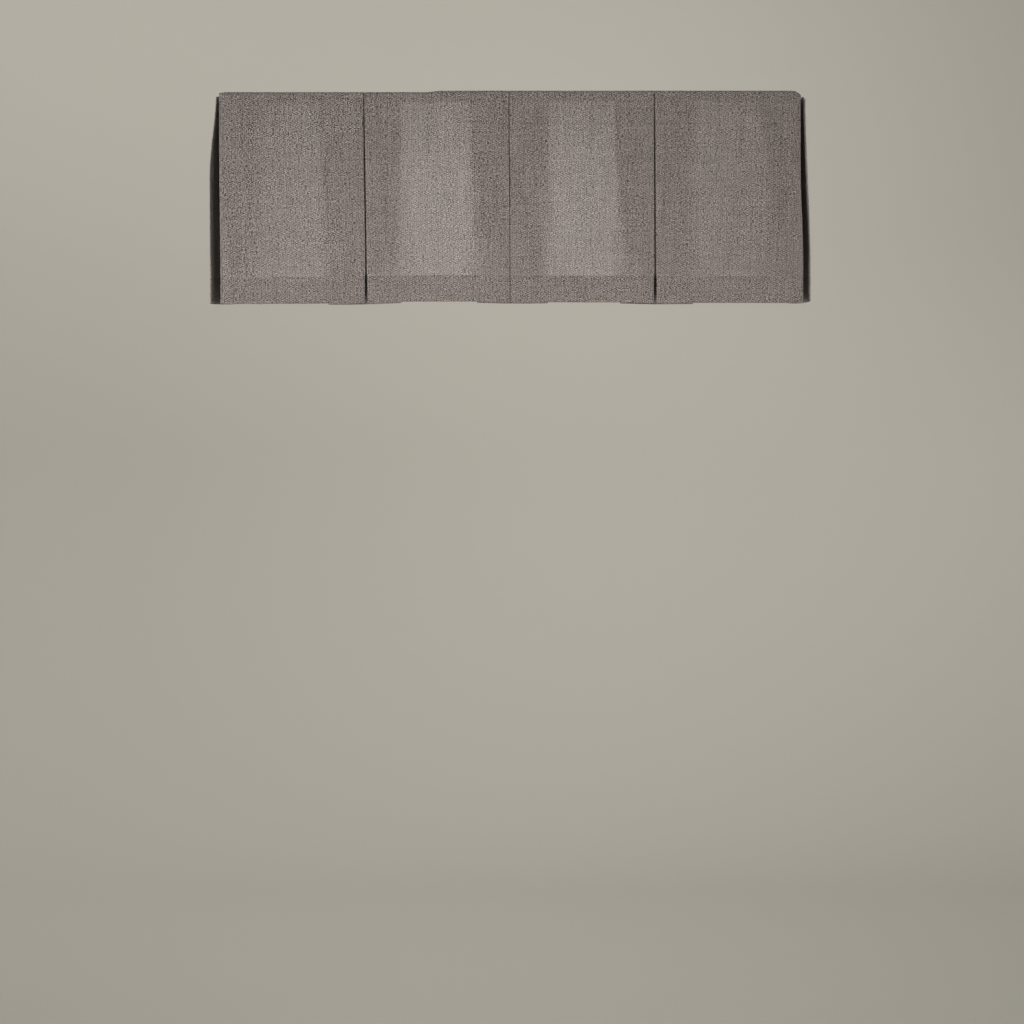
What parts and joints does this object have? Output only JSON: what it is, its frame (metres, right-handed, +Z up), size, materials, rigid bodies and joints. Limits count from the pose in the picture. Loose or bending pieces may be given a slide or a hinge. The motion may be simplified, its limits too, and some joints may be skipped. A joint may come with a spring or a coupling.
{
  "type": "window valance",
  "caption": "Tailored window valance with flat panels, inverted box pleats, pleated corners and side returns, hung from its top edge over a window.",
  "frame": {"origin": "middle of the top edge, on the plane where the back of the heading lies against the front of its mounting board", "axes": "+X along the valance to the right as seen from the room, +Y into the wall, +Z up"},
  "size_m": [1.1547, 0.0967, 0.4086],
  "materials": {
    "basket_weave_cloth": "matte taupe-grey basket weave with slubs, slightly translucent where it is a single layer"
  },
  "bodies": {
    "root": {"pleated_skirt": "basket_weave_cloth"}
  },
  "joints": []
}
